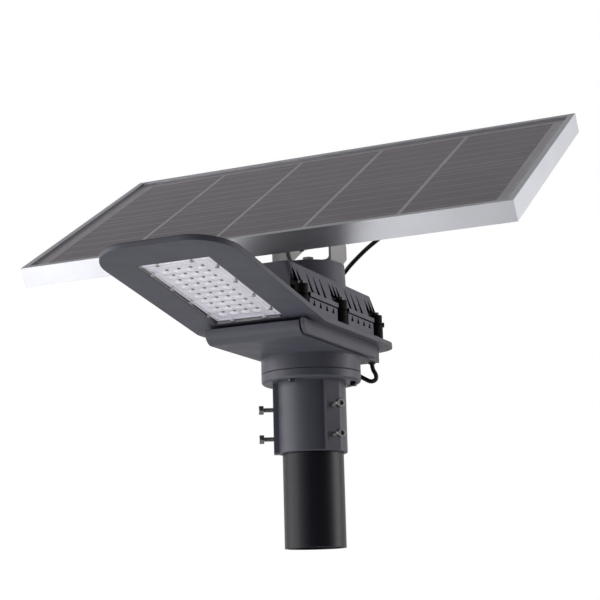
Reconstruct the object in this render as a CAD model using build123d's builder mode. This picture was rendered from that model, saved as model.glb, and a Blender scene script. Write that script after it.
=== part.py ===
"""Solar street lamp on the top of a pole.

Millimetres, +Z up. The origin is the centre of the pole stub's lower end. The lamp's
light points towards -Y, X runs along the solar panel's long side.
"""
from build123d import *
import os
from math import atan2, cos, degrees, pi, radians, sin, tan

os.makedirs("parts", exist_ok=True)

CENTRE = Align.CENTER
LOW = Align.MIN
HIGH = Align.MAX
FROM_FLOOR = (CENTRE, CENTRE, LOW)
FROM_CEILING = (CENTRE, CENTRE, HIGH)

# ---- driving dimensions -------------------------------------------------------------
# pole stub
pole_r = 38.0
pole_wall = 3.0
pole_visible = 116.0
pole_shoulder = 115.0
spigot_r = 37.6

# collar that slips over the pole
sleeve_r = 43.0
sleeve_bore_r = 37.9
sleeve_height = 87.2
sleeve_depth = 80.0
rib_r = 48.5
rib_width = 19.0
rib_angle = 327.0
rib_count = 3
flange_r = 62.3
lower_flange_height = 11.3
swivel_ring_height = 1.0
upper_flange_height = 19.0
wire_hole_r = 20.0

# screws that clamp the pole
clamp_r = 3.0
clamp_hole_r = 3.05
clamp_heights = (19.0, 55.5)
clamp_head_face_r = 66.2

# swivel screws in their arc slots
swivel_slot_r = 52.8
swivel_slot_width = 6.6
swivel_slot_half_angle = 18.0
swivel_screw_length = 21.0

# lamp housing: a flat plate behind, pitched up in front
plate_thickness = 7.0
plate_half_width = 84.0
plate_bottom = 252.0
plate_rear = 100.0
plate_corner_r = 40.0
front_corner_r = 50.0
front_edge = 141.0
head_pitch = 10.56
window_origin = (0.0, -257.89, 274.01)
window_length = 183.9
window_width = 86.5
window_wall = 1.2
platform_height = 7.0
platform_border = 10.0
recess_depth = 5.6
fin_count = 9
box_seat_front = -162.4
box_seat_half_width = 70.0
fin_pitch = 11.0
fin_height = 6.0

# LED array and lens
lens_rows = 4
lens_columns = 10
lens_pitch = 14.7
lens_r = 6.2
lens_bulge = 3.4
lens_face = 0.6
lens_thickness = 2.4
board_thickness = 1.6
chip_size = 3.0
chip_height = 0.7

# belly casting under the plate
belly_left = -62.4
belly_right = 60.0
belly_front = -167.0
belly_rear = 75.0
belly_nose_r = 15.0
belly_wall = 3.0
side_bar_inner = 66.3
side_bar_outer = 70.5
side_bar_front = -171.0
side_bar_rear = 50.0
side_bar_bottom = 236.0

# battery box on the plate
box_centre_y = -29.0
post_rows_y = -36.0
split_z = 284.5
gasket_thickness = 1.2
box_top = 327.0
box_wall = 3.0
box_floor_half = (61.5, 128.5)
box_shoulder_half = (57.0, 128.5)
box_top_half = (45.0, 126.0)
box_corner_r = 7.0
box_flange_height = 5.4
box_flange_half = (63.0, 130.5)
box_inner_half = (44.5, 120.0)
box_inner_top_half = (41.5, 119.0)
notch_floor_x = 47.7
post_r = 8.0
post_x = 58.5
post_pitch = 114.0
post_top = 297.0
pocket_half_length = 16.5
pocket_height = 18.0
neck_r = 46.0
neck_foot_r = 47.4
neck_top = 353.0
neck_wall = 5.0

# steel U bracket
ear_outer = 40.8
ear_thickness = 3.0
ear_front = -20.0
base_rear = 18.0
pivot_y = -1.5
pivot_z = 395.7
ear_round_r = 18.0
m8_r = 4.0
m6_hole_r = 3.1
m8_running_r = 4.08

# solar panel
panel_tilt = 32.09
panel_origin = (0.0, -18.07, 450.4)
panel_length = 647.1
panel_width = 349.2
panel_depth = 25.2
frame_wall = 1.6
frame_lip = 8.0
frame_shelf = 9.0
frame_foot = 18.0
laminate_top = 1.4
glass_thickness = 3.2
cell_thickness = 0.3
backsheet_thickness = 0.5
cell_columns = 5
cell_pitch_x = 119.9
cell_gap_x = 5.5
cell_gap_y = 2.0
cell_margin_y = 17.13
rail_x = 58.0
rail_bolt_inset = 12.5
rail_width = 34.0
rail_thickness = 3.0
cradle_thickness = 3.0
cheek_thickness = 3.7
cheek_outer = 37.3

# junction box on the panel's back
jbox_centre = (130.0, 22.0)
jbox_size = (80.0, 56.0)
jbox_bottom = 24.0
jbox_gland_place = (116.0, 8.0)

# cables
cable_d = 5.6
gland_r = 6.5
gland_length = 12.0

# ---- worked-out places --------------------------------------------------------------
collar_z = pole_visible
flange_z = collar_z + sleeve_height
ring_z = flange_z + lower_flange_height
adapter_z = ring_z + swivel_ring_height
belly_bottom = adapter_z + upper_flange_height
plate_top = plate_bottom + plate_thickness
slot_angle = rib_angle + 60.0

pitch_cos = cos(radians(head_pitch))
pitch_sin = sin(radians(head_pitch))
window = Plane(origin=window_origin, x_dir=(1, 0, 0), z_dir=(0, pitch_sin, pitch_cos))

tilt_cos = cos(radians(panel_tilt))
tilt_sin = sin(radians(panel_tilt))
panel = Plane(origin=panel_origin, x_dir=(1, 0, 0), z_dir=(0, -tilt_sin, tilt_cos))


def on_panel(x, v, depth):
    """World point at x along the panel, v up its slope and depth below its sun face."""
    return panel.from_local_coords((x, v, -depth))


def save(piece, name):
    """Label a finished piece and write its STEP file."""
    piece.label = name
    export_step(piece, f"parts/{name}.step")


def radial_plane(angle, z):
    """Plane whose normal points away from the pole's axis at this angle."""
    a = radians(angle)
    return Plane(origin=(0, 0, z), x_dir=(-sin(a), cos(a), 0), z_dir=(cos(a), sin(a), 0))


def slot_arc(radius, start, span):
    """Centre line of an arc slot around the pole's axis."""
    return CenterArc((0, 0), radius, start, span)


# ---- fasteners ----------------------------------------------------------------------
def socket_screw(shank_r, length, head_r, head_height, key_r):
    """Socket-head screw along Z: shank below z=0, head above it."""
    with BuildPart() as screw:
        Cylinder(shank_r, length, align=FROM_CEILING)
        Cylinder(head_r, head_height, align=FROM_FLOOR)
        chamfer(screw.edges().group_by(Axis.Z)[-1], 0.08 * head_r)
        with BuildSketch(Plane.XY.offset(head_height)):
            RegularPolygon(key_r, 6)
        extrude(amount=-0.55 * head_height, mode=Mode.SUBTRACT)
    return screw.part


def hex_bolt(shank_r, length, head_r, head_height):
    """Hexagon-head bolt along Z: shank below z=0, head above it."""
    with BuildPart() as bolt:
        Cylinder(shank_r, length, align=FROM_CEILING)
        with BuildSketch():
            RegularPolygon(head_r, 6)
        extrude(amount=head_height)
    return bolt.part


def ring(outer_r, inner_r, thickness):
    """Flat ring standing on z=0."""
    with BuildPart() as washer:
        Cylinder(outer_r, thickness, align=FROM_FLOOR)
        Cylinder(inner_r, thickness, align=FROM_FLOOR, mode=Mode.SUBTRACT)
    return washer.part


def hex_nut(bore_r, outer_r, thickness):
    """Hexagon nut standing on z=0."""
    with BuildPart() as nut:
        with BuildSketch():
            RegularPolygon(outer_r, 6)
            Circle(bore_r, mode=Mode.SUBTRACT)
        extrude(amount=thickness)
    return nut.part


def cable_gland(bore_r, hex_r, length):
    """Cable gland along Z: a hexagon base on z=0 and a round clamping nut above it."""
    with BuildPart() as gland:
        with BuildSketch():
            RegularPolygon(hex_r, 6)
        extrude(amount=0.4 * length)
        with Locations((0, 0, 0.4 * length)):
            Cylinder(0.86 * hex_r, 0.6 * length, align=FROM_FLOOR)
        fillet(gland.edges().group_by(Axis.Z)[-1], 0.16 * hex_r)
        Cylinder(bore_r, length, align=FROM_FLOOR, mode=Mode.SUBTRACT)
    return gland.part


def placed(piece, locations):
    """One node holding a copy of the piece at each location."""
    with BuildPart() as group:
        with Locations(*locations):
            add(piece)
    return group.part


# ---- pole and collar ----------------------------------------------------------------
with BuildPart() as pole_tube:
    Cylinder(pole_r, pole_shoulder, align=FROM_FLOOR)
    Cylinder(spigot_r, pole_visible + sleeve_depth, align=FROM_FLOOR)
    Cylinder(pole_r - pole_wall, pole_visible + sleeve_depth, align=FROM_FLOOR, mode=Mode.SUBTRACT)
save(pole_tube.part, "pole_tube")

with BuildPart() as mounting_collar:
    with BuildSketch(Plane.XY.offset(collar_z)):
        Circle(sleeve_r)
        with PolarLocations(0, rib_count, start_angle=rib_angle):
            Rectangle(rib_r, rib_width, align=(LOW, CENTRE))
    extrude(amount=sleeve_height)
    chamfer(mounting_collar.edges().group_by(Axis.Z)[0], 1.0)
    with BuildSketch(Plane.XY.offset(flange_z)):
        Circle(flange_r)
    extrude(amount=lower_flange_height)
    flange_rim = mounting_collar.edges().filter_by(GeomType.CIRCLE)
    fillet(flange_rim.filter_by(lambda e: e.radius == flange_r).sort_by(Axis.Z)[0], 3.5)
    with Locations((0, 0, collar_z)):
        Cylinder(sleeve_bore_r, sleeve_depth, align=FROM_FLOOR, mode=Mode.SUBTRACT)
        Cylinder(wire_hole_r, sleeve_height + lower_flange_height, align=FROM_FLOOR, mode=Mode.SUBTRACT)
    for spoke in range(rib_count):
        for height in clamp_heights:
            with BuildSketch(radial_plane(rib_angle + 120 * spoke, collar_z + height)):
                Circle(clamp_hole_r)
            extrude(amount=rib_r + 1, mode=Mode.SUBTRACT)
    with BuildSketch(Plane.XY.offset(flange_z)):
        for spoke in range(rib_count):
            start = slot_angle + 120 * spoke - swivel_slot_half_angle
            SlotArc(slot_arc(swivel_slot_r, start, 2 * swivel_slot_half_angle), swivel_slot_width)
    extrude(amount=lower_flange_height, mode=Mode.SUBTRACT)
save(mounting_collar.part, "mounting_collar")

clamp_head_height = 6.0
clamp_length = clamp_head_face_r - clamp_head_height - spigot_r - 0.05
clamp_screw = socket_screw(clamp_r, clamp_length, 5.5, clamp_head_height, 2.9)
clamp_places = []
for spoke in range(rib_count):
    for height in clamp_heights:
        seat = radial_plane(rib_angle + 120 * spoke, collar_z + height)
        clamp_places.append(seat.offset(clamp_head_face_r - clamp_head_height).location)
save(placed(clamp_screw, clamp_places), "clamp_screws")

swivel_washer = ring(flange_r - 1.2, wire_hole_r + 2, swivel_ring_height)
with BuildPart() as swivel_ring:
    with Locations((0, 0, ring_z)):
        add(swivel_washer)
    with BuildSketch(Plane.XY.offset(ring_z)):
        for spoke in range(rib_count):
            start = slot_angle + 120 * spoke - swivel_slot_half_angle
            SlotArc(slot_arc(swivel_slot_r, start, 2 * swivel_slot_half_angle), swivel_slot_width)
    extrude(amount=swivel_ring_height, mode=Mode.SUBTRACT)
save(swivel_ring.part, "swivel_ring")

swivel_screw = socket_screw(2.5, swivel_screw_length, 4.2, 3.2, 2.3)
swivel_places = []
for spoke in range(rib_count):
    a = radians(slot_angle + 120 * spoke)
    swivel_places.append(Location((swivel_slot_r * cos(a), swivel_slot_r * sin(a), flange_z), (180, 0, 0)))
save(placed(swivel_screw, swivel_places), "swivel_screws")

# ---- belly casting (carries the upper flange) ---------------------------------------
with BuildPart() as belly_casting:
    with BuildSketch(Plane.XY.offset(adapter_z)):
        Circle(flange_r)
    extrude(amount=belly_bottom - adapter_z)
    with BuildSketch(Plane.YZ) as side_view:
        with Locations((belly_front, belly_bottom)):
            Rectangle(belly_rear - belly_front, plate_bottom - belly_bottom, align=(LOW, LOW))
        fillet(side_view.vertices().group_by(Axis.Y)[0].sort_by(Axis.X)[0], belly_nose_r)
        fillet(side_view.vertices().group_by(Axis.Y)[0].sort_by(Axis.X)[-1], 2)
    extrude(amount=-belly_left)
    extrude(side_view.sketch, amount=-belly_right)
    with BuildSketch(Plane.XY.offset(belly_bottom + belly_wall)):
        with Locations(((belly_left + belly_right) / 2, (belly_front + belly_rear) / 2)):
            Rectangle(belly_right - belly_left - 12, belly_rear - belly_front - 38)
    extrude(amount=plate_bottom, mode=Mode.SUBTRACT)
    with Locations((0, 0, adapter_z)):
        Cylinder(wire_hole_r, 40, align=FROM_FLOOR, mode=Mode.SUBTRACT)
    for spoke in range(rib_count):
        a = radians(slot_angle + 120 * spoke)
        with Locations((swivel_slot_r * cos(a), swivel_slot_r * sin(a), adapter_z)):
            Cylinder(2.55, 9.0, align=FROM_FLOOR, mode=Mode.SUBTRACT)
save(belly_casting.part, "belly_casting")

# ---- lamp housing -------------------------------------------------------------------
bend_y = window_origin[1] + (window_origin[2] - plate_bottom) / tan(radians(head_pitch))
front_reach = 170.0
bar_height = plate_bottom - side_bar_bottom


def plate_profile(thickness):
    """Side view of the bent plate, flat behind and pitched up in front."""
    front_y = window_origin[1] - front_reach * pitch_cos
    front_z = window_origin[2] + front_reach * pitch_sin
    rise_y = thickness * pitch_sin
    rise_z = thickness * pitch_cos
    top_bend_y = bend_y + thickness * tan(radians(head_pitch / 2))
    return [
        (plate_rear + 5, plate_bottom),
        (bend_y, plate_bottom),
        (front_y, front_z),
        (front_y + rise_y, front_z + rise_z),
        (top_bend_y, plate_bottom + thickness),
        (plate_rear + 5, plate_bottom + thickness),
    ]


front_y = window_origin[1] - front_edge * pitch_cos
with BuildPart() as lamp_housing:
    with BuildSketch(Plane.YZ):
        Polygon(*plate_profile(plate_thickness), align=None)
    extrude(amount=plate_half_width + 5, both=True)
    bends = lamp_housing.edges().filter_by(Axis.X).filter_by(lambda e: abs(e.center().Y - bend_y) < 4)
    fillet(bends, 60)
    with BuildSketch(Plane.XY.offset(plate_bottom - 10)) as outline:
        with Locations((0, (front_y + plate_rear) / 2)):
            Rectangle(2 * plate_half_width, plate_rear - front_y)
        fillet(outline.vertices().group_by(Axis.Y)[0], front_corner_r)
        fillet(outline.vertices().group_by(Axis.Y)[-1], plate_corner_r)
    extrude(amount=80, mode=Mode.INTERSECT)
    rims = lamp_housing.faces().filter_by(lambda f: abs(f.normal_at().Z) > 0.9)
    fillet(rims.sort_by(Axis.Z)[-1].edges().filter_by(lambda e: e.center().Y < -300), 2.0)
    with BuildSketch(window.offset(plate_thickness - 1)):
        RectangleRounded(window_width + 2 * platform_border, window_length + 2 * platform_border, 8)
    extrude(amount=platform_height + 1, taper=20)
    with BuildSketch(window.offset(plate_thickness + platform_height - 1)):
        with GridLocations(fin_pitch, 0, fin_count, 1):
            Rectangle(2.4, window_length - 8)
    extrude(amount=fin_height + 1)
    with BuildSketch(window.offset(-3)):
        Rectangle(window_width + 2 * window_wall, window_length + 2 * window_wall)
    extrude(amount=recess_depth + 3, mode=Mode.SUBTRACT)
    bar_middle = (side_bar_front + side_bar_rear) / 2
    with BuildSketch(Plane.YZ.offset(side_bar_inner)) as bar:
        with Locations((bar_middle, plate_bottom + 1)):
            Rectangle(side_bar_rear - side_bar_front, bar_height + 1, align=(CENTRE, HIGH))
        fillet(bar.vertices().group_by(Axis.Y)[0].sort_by(Axis.X)[0], 12)
        fillet(bar.vertices().group_by(Axis.Y)[0].sort_by(Axis.X)[-1], 4)
    extrude(amount=side_bar_outer - side_bar_inner)
    with Locations((0, box_seat_front, plate_top)):
        Box(2 * box_seat_half_width, 60, 20, align=(CENTRE, LOW, LOW), mode=Mode.SUBTRACT)
    with Locations((0, 0, plate_bottom)):
        Cylinder(wire_hole_r - 4, plate_thickness, align=FROM_FLOOR, mode=Mode.SUBTRACT)
    with BuildSketch(Plane.XY.offset(plate_bottom)):
        with Locations((0, bend_y + 24)):
            SlotOverall(30, 8)
    extrude(amount=plate_thickness, mode=Mode.SUBTRACT)
save(lamp_housing.part, "lamp_housing")

# ---- LED module ---------------------------------------------------------------------
board_plane = window.offset(recess_depth - board_thickness)
with BuildPart() as led_board:
    with BuildSketch(board_plane):
        RectangleRounded(window_width - 2, window_length - 2, 2)
    extrude(amount=board_thickness)
save(led_board.part, "led_board")

with BuildPart() as led_chips:
    with BuildSketch(board_plane):
        with GridLocations(lens_pitch, lens_pitch, lens_rows, lens_columns):
            Rectangle(chip_size, chip_size)
    extrude(amount=-chip_height)
save(led_chips.part, "led_chips")

with BuildPart() as lens_gasket:
    with BuildSketch(window.offset(lens_face + lens_thickness)):
        RectangleRounded(window_width - 2, window_length - 2, 2)
        RectangleRounded(window_width - 6, window_length - 6, 2, mode=Mode.SUBTRACT)
    extrude(amount=recess_depth - board_thickness - lens_face - lens_thickness)
save(lens_gasket.part, "lens_gasket")

lens_screw_places = [(x, y) for x in (-39.6, 39.6) for y in (-65.1, -21.7, 21.7, 65.1)]
lens_screw_places += [(x, y) for x in (-21, 21) for y in (-88, 88)]
with BuildPart() as lens_plate:
    with BuildSketch(window.offset(lens_face)):
        RectangleRounded(window_width, window_length, 2)
    extrude(amount=lens_thickness)
    dome_r = (lens_r**2 + lens_bulge**2) / (2 * lens_bulge)
    with Locations(window.offset(lens_face + dome_r - lens_bulge).location):
        with GridLocations(lens_pitch, lens_pitch, lens_rows, lens_columns):
            Sphere(dome_r)
    with BuildSketch(window.offset(lens_face + lens_thickness)):
        Rectangle(window_width + 20, window_length + 20)
    extrude(amount=2 * dome_r, mode=Mode.SUBTRACT)
    with Locations(window.offset(lens_face).location):
        with Locations(*lens_screw_places):
            Cylinder(1.55, lens_thickness, align=FROM_FLOOR, mode=Mode.SUBTRACT)
save(lens_plate.part, "lens_plate")

lens_screw = socket_screw(1.5, 2.3, 2.6, 1.4, 1.3)
lens_screw_seats = [
    Location(window.from_local_coords((x, y, lens_face)), (180 - head_pitch, 0, 0)) for x, y in lens_screw_places
]
save(placed(lens_screw, lens_screw_seats), "lens_screws")

# ---- battery box --------------------------------------------------------------------
row_shift = post_rows_y - box_centre_y
post_rows = (row_shift - post_pitch, row_shift, row_shift + post_pitch)
lower_top = split_z - gasket_thickness / 2
upper_bottom = split_z + gasket_thickness / 2
shoulder_z = upper_bottom + box_flange_height
bay_rows = (row_shift - post_pitch / 2, row_shift + post_pitch / 2)
pocket_places = [(side * (notch_floor_x + 10), row) for side in (-1, 1) for row in post_rows]


def at_box(z):
    """Horizontal plane at height z, centred on the battery box."""
    return Plane.XY.offset(z).move(Location((0, box_centre_y, 0)))


def box_outline(half):
    """Rounded rectangle of the battery box in plan, from its half sizes."""
    RectangleRounded(2 * half[0], 2 * half[1], box_corner_r)


def vent_notches(side, rows, offsets, wide_z, narrow_z, wide, narrow):
    """Side-view outlines of the tapering notches between the fins of one side wall."""
    wall = Plane(origin=(side * 80, box_centre_y, 0), x_dir=(0, side, 0), z_dir=(side, 0, 0))
    with BuildSketch(wall) as notches:
        for row in rows:
            for offset_y in offsets:
                y = side * (row + offset_y)
                Polygon(
                    (y - wide / 2, wide_z),
                    (y + wide / 2, wide_z),
                    (y + narrow / 2, narrow_z),
                    (y - narrow / 2, narrow_z),
                    align=None,
                )
    return notches.sketch


post_places = [(side * post_x, row) for side in (-1, 1) for row in post_rows]
web_places = [(side * (notch_floor_x + 4), row) for side in (-1, 1) for row in post_rows]


def posts_with_webs(z):
    """Plan of the screw posts and of the webs that join them to the side walls."""
    with BuildSketch(at_box(z)) as plan:
        with Locations(*post_places):
            Circle(post_r)
        with Locations(*web_places):
            Rectangle(11, 6)
    return plan.sketch


with BuildPart() as battery_box_lower:
    with BuildSketch(at_box(plate_top)):
        box_outline(box_floor_half)
    extrude(amount=lower_top - plate_top)
    with BuildSketch(at_box(plate_top)):
        with Locations(*pocket_places):
            Rectangle(20, 2 * pocket_half_length)
    extrude(amount=60, mode=Mode.SUBTRACT)
    for side in (-1, 1):
        notches = vent_notches(side, bay_rows, (-27.8, -9.3, 9.3, 27.8), lower_top - 8.0, lower_top - 1.2, 7.5, 1.0)
        extrude(notches, amount=-(80 - 53), mode=Mode.SUBTRACT)
    extrude(posts_with_webs(plate_top), amount=lower_top - plate_top)
    with BuildSketch(at_box(plate_top + box_wall)):
        box_outline(box_inner_half)
        with Locations(*[(0, bay) for bay in bay_rows]):
            RectangleRounded(100, 66, 4)
    extrude(amount=80, mode=Mode.SUBTRACT)
    with BuildSketch(at_box(lower_top - 16)):
        with Locations(*post_places):
            Circle(2.05)
    extrude(amount=20, mode=Mode.SUBTRACT)
    with Locations((0, bend_y + 24, plate_top)):
        Cylinder(5, box_wall, align=FROM_FLOOR, mode=Mode.SUBTRACT)
save(battery_box_lower.part, "battery_box_lower")

with BuildPart() as box_gasket:
    with BuildSketch(at_box(lower_top)):
        box_outline((47.5, 123.5))
        RectangleRounded(2 * 45.0, 2 * 120.5, box_corner_r, mode=Mode.SUBTRACT)
    extrude(amount=gasket_thickness)
save(box_gasket.part, "box_gasket")

with BuildPart() as battery_box_upper:
    with BuildSketch(at_box(upper_bottom)):
        box_outline(box_flange_half)
    extrude(amount=box_flange_height)
    with BuildSketch(at_box(upper_bottom)):
        box_outline(box_shoulder_half)
    extrude(amount=box_flange_height)
    with BuildSketch(at_box(shoulder_z)):
        box_outline(box_shoulder_half)
    with BuildSketch(at_box(box_top)):
        box_outline(box_top_half)
    loft()
    fillet(battery_box_upper.edges().group_by(Axis.Z)[-1], 2.0)
    with BuildSketch(at_box(upper_bottom)):
        with Locations(*pocket_places):
            Rectangle(20, 2 * pocket_half_length)
    extrude(amount=pocket_height, mode=Mode.SUBTRACT)
    for side in (-1, 1):
        for rows, offsets, foot_z, width in (
            (bay_rows, (-18.5, 0, 18.5), shoulder_z, 8.5),
            (post_rows, (-11, 0, 11), upper_bottom + pocket_height - 1, 9.5),
        ):
            notches = vent_notches(side, rows, offsets, foot_z, box_top - 9, width, 1.5)
            extrude(notches, amount=-(80 - notch_floor_x), mode=Mode.SUBTRACT)
    extrude(posts_with_webs(upper_bottom), amount=post_top - upper_bottom)
    neck_foot_z = box_top - 8
    with BuildSketch(Plane.XY.offset(neck_foot_z)):
        Circle(neck_foot_r)
    neck_taper = degrees(atan2(neck_foot_r - neck_r, neck_top - neck_foot_z))
    extrude(amount=neck_top - neck_foot_z, taper=neck_taper)
    with BuildSketch(at_box(upper_bottom)):
        box_outline(box_inner_half)
    with BuildSketch(at_box(box_top - box_wall)):
        box_outline(box_inner_top_half)
    loft(mode=Mode.SUBTRACT)
    with Locations((0, 0, box_top - 20)):
        Cylinder(39, neck_top - neck_wall - box_top + 20, align=FROM_FLOOR, mode=Mode.SUBTRACT)
    with Locations((0, 0, neck_top)):
        Cylinder(m8_r + 0.05, 2 * neck_wall, mode=Mode.SUBTRACT)
    with BuildSketch(at_box(upper_bottom)):
        with Locations(*post_places):
            Circle(2.55)
    extrude(amount=post_top - upper_bottom, mode=Mode.SUBTRACT)
save(battery_box_upper.part, "battery_box_upper")

box_screw = socket_screw(2.0, post_top - lower_top + 9, 4.2, 4.0, 2.3)
box_screw_places = [Location((x, box_centre_y + y, post_top)) for x, y in post_places]
save(placed(box_screw, box_screw_places), "box_screws")

cell_r = 13.1
cell_length = 65.0
cell_pitch = 27.2
cell_middle_z = plate_top + box_wall + 2.5 + cell_r + cell_pitch / 2
cell_rows = (-110.0, -39.0)
with BuildPart() as battery_cells:
    for row in cell_rows:
        end_plane = Plane(origin=(0, row - cell_length / 2, cell_middle_z), x_dir=(1, 0, 0), z_dir=(0, 1, 0))
        with BuildSketch(end_plane):
            with GridLocations(cell_pitch, cell_pitch, 3, 2):
                Circle(cell_r)
        extrude(amount=cell_length)
    fillet(battery_cells.edges().filter_by(GeomType.CIRCLE), 1.2)
save(battery_cells.part, "battery_cells")

with BuildPart() as cell_holders:
    for row in cell_rows:
        for end in (-22, 22):
            holder_plane = Plane(origin=(0, row + end - 4, cell_middle_z), x_dir=(1, 0, 0), z_dir=(0, 1, 0))
            with BuildSketch(holder_plane):
                RectangleRounded(82.5, 2 * cell_r + cell_pitch + 4, 4)
                with GridLocations(cell_pitch, cell_pitch, 3, 2):
                    Circle(cell_r + 0.05, mode=Mode.SUBTRACT)
            extrude(amount=8)
save(cell_holders.part, "cell_holders")

controller_y = 38.0
with BuildPart() as charge_controller:
    with Locations((0, controller_y, plate_top + box_wall)):
        Box(84, 62, 24, align=FROM_FLOOR)
    fillet(charge_controller.edges().filter_by(Axis.Z), 3)
    chamfer(charge_controller.edges().group_by(Axis.Z)[-1], 1)
    with Locations((0, controller_y - 31, plate_top + box_wall + 12)):
        with GridLocations(10, 0, 6, 1):
            Box(6, 8, 8, mode=Mode.SUBTRACT)
save(charge_controller.part, "charge_controller")

# ---- swivelling U bracket -----------------------------------------------------------
base_top = neck_top + ear_thickness
ear_knee_y = 30.0
with BuildPart() as u_bracket:
    with BuildSketch(Plane.XZ.offset(-base_rear)):
        with Locations((0, neck_top)):
            Rectangle(2 * ear_outer, ear_thickness, align=(CENTRE, LOW))
    extrude(amount=base_rear - ear_front)
    for side in (-1, 1):
        ear_face = Plane(origin=(side * ear_outer, 0, 0), x_dir=(0, 1, 0), z_dir=(1, 0, 0))
        with BuildSketch(ear_face):
            Polygon(
                (ear_front, neck_top),
                (base_rear - 3, neck_top),
                (ear_knee_y, neck_top + 11),
                (ear_knee_y, neck_top + 27),
                (ear_front, neck_top + 27),
                align=None,
            )
            with Locations((pivot_y, pivot_z)):
                Circle(ear_round_r)
            make_hull()
        extrude(amount=-side * ear_thickness)
    inner = u_bracket.edges().filter_by(Axis.Y).filter_by(
        lambda e: abs(abs(e.center().X) - (ear_outer - ear_thickness)) < 0.1 and abs(e.center().Z - base_top) < 0.1
    )
    fillet(inner, 5.0)
    outer = u_bracket.edges().filter_by(Axis.Y).filter_by(
        lambda e: abs(abs(e.center().X) - ear_outer) < 0.1 and abs(e.center().Z - neck_top) < 0.1
    )
    fillet(outer, 3.0)
    with Locations((0, 0, neck_top)):
        Cylinder(m8_running_r, 3 * ear_thickness, mode=Mode.SUBTRACT)
    with BuildSketch(Plane.YZ.offset(-ear_outer - 1)):
        with Locations((pivot_y, pivot_z)):
            Circle(m8_r + 0.05)
    extrude(amount=2 * ear_outer + 2, mode=Mode.SUBTRACT)
save(u_bracket.part, "u_bracket")

pan_seat = base_top + 1.6
save(placed(ring(8.0, m8_r + 0.1, 1.6), [Location((0, 0, base_top))]), "pan_washer")
save(placed(hex_bolt(m8_r, 35.0, 7.5, 8.0), [Location((0, 0, pan_seat))]), "pan_bolt")
save(placed(hex_nut(m8_r + 0.02, 7.5, 6.5), [Location((0, 0, neck_top - neck_wall - 6.5))]), "pan_nut")


def tilt_axis(side, x):
    """Place on the tilt axis at x, with local +Z pointing outwards on this side."""
    return Plane(origin=(side * x, pivot_y, pivot_z), x_dir=(0, 1, 0), z_dir=(side, 0, 0)).location


cheek_inner = cheek_outer - cheek_thickness
save(placed(ring(8.0, m8_r + 0.1, 1.6), [tilt_axis(s, ear_outer) for s in (-1, 1)]), "tilt_washers")
save(placed(hex_bolt(m8_r, 20.0, 7.5, 5.3), [tilt_axis(s, ear_outer + 1.6) for s in (-1, 1)]), "tilt_bolts")
nut_places = [tilt_axis(s, cheek_inner - 6.9) for s in (-1, 1)]
save(placed(hex_nut(m8_r + 0.02, 7.5, 6.5), nut_places), "tilt_nuts")

# ---- solar panel frame --------------------------------------------------------------
half_length = panel_length / 2
half_width = panel_width / 2


def frame_profile():
    """Section of a frame rail: x inward from the outer face, y up to the sun face."""
    with BuildSketch() as section:
        Polygon(
            (0, 0),
            (frame_lip, 0),
            (frame_lip, -1.3),
            (frame_wall, -1.3),
            (frame_wall, -5.5),
            (frame_shelf, -5.5),
            (frame_shelf, -15),
            (frame_wall, -15),
            (frame_wall, -panel_depth + 1.5),
            (frame_foot, -panel_depth + 1.5),
            (frame_foot, -panel_depth),
            (0, -panel_depth),
            align=None,
        )
        with Locations((4.7, -10.25)):
            Rectangle(6.2, 7.1, mode=Mode.SUBTRACT)
    return section.sketch


def frame_rail(direction, across, reach, half_rail, bolt_places=()):
    """One mitred frame rail; direction and across are panel axes, reach its outer face."""
    along = panel.x_dir * direction[0] + panel.y_dir * direction[1]
    inward = panel.x_dir * across[0] + panel.y_dir * across[1]
    start = Vector(*panel_origin) - inward * reach - along * half_rail
    with BuildPart() as rail:
        with BuildSketch(Plane(origin=start, x_dir=inward, z_dir=along)):
            add(frame_profile())
        extrude(amount=2 * half_rail)
        corner = Plane(origin=Vector(*panel_origin) - inward * reach, x_dir=along, z_dir=along.cross(inward))
        with BuildSketch(corner.offset(-40)):
            Polygon(
                (-half_rail, 0),
                (half_rail, 0),
                (half_rail - 30, 30),
                (-half_rail + 30, 30),
                align=None,
            )
        extrude(amount=80, mode=Mode.INTERSECT)
        for place in bolt_places:
            with BuildSketch(corner.offset(-panel_depth - 1)):
                with Locations((place, rail_bolt_inset)):
                    Circle(m6_hole_r)
            extrude(amount=5, mode=Mode.SUBTRACT)
    return rail.part


save(frame_rail((1, 0), (0, 1), half_width, half_length, (-rail_x, rail_x)), "frame_rail_front")
save(frame_rail((-1, 0), (0, -1), half_width, half_length, (-rail_x, rail_x)), "frame_rail_rear")
save(frame_rail((0, -1), (1, 0), half_length, half_width), "frame_rail_left")
save(frame_rail((0, 1), (-1, 0), half_length, half_width), "frame_rail_right")

key_arm = 36.0
key_width = 6.0
key_near = frame_wall + 0.1
with BuildPart() as corner_keys:
    with BuildSketch(panel.offset(-6.8)):
        for sx in (-1, 1):
            for sv in (-1, 1):
                corner_x = sx * (half_length - key_near)
                corner_v = sv * (half_width - key_near)
                with Locations((corner_x, corner_v)):
                    Rectangle(key_arm, key_width, align=(HIGH if sx > 0 else LOW, HIGH if sv > 0 else LOW))
                    Rectangle(key_width, key_arm, align=(HIGH if sx > 0 else LOW, HIGH if sv > 0 else LOW))
    extrude(amount=-6.9)
save(corner_keys.part, "corner_keys")


def laminate_layer(depth, thickness):
    """One full sheet of the laminate at a depth below the sun face."""
    with BuildPart() as layer:
        with BuildSketch(panel.offset(-depth)):
            Rectangle(panel_length - 2 * frame_wall - 1, panel_width - 2 * frame_wall - 1)
        extrude(amount=-thickness)
    return layer.part


cell_top = laminate_top + glass_thickness
save(laminate_layer(laminate_top, glass_thickness), "panel_glass")
save(laminate_layer(cell_top + cell_thickness, backsheet_thickness), "backsheet")

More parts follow.
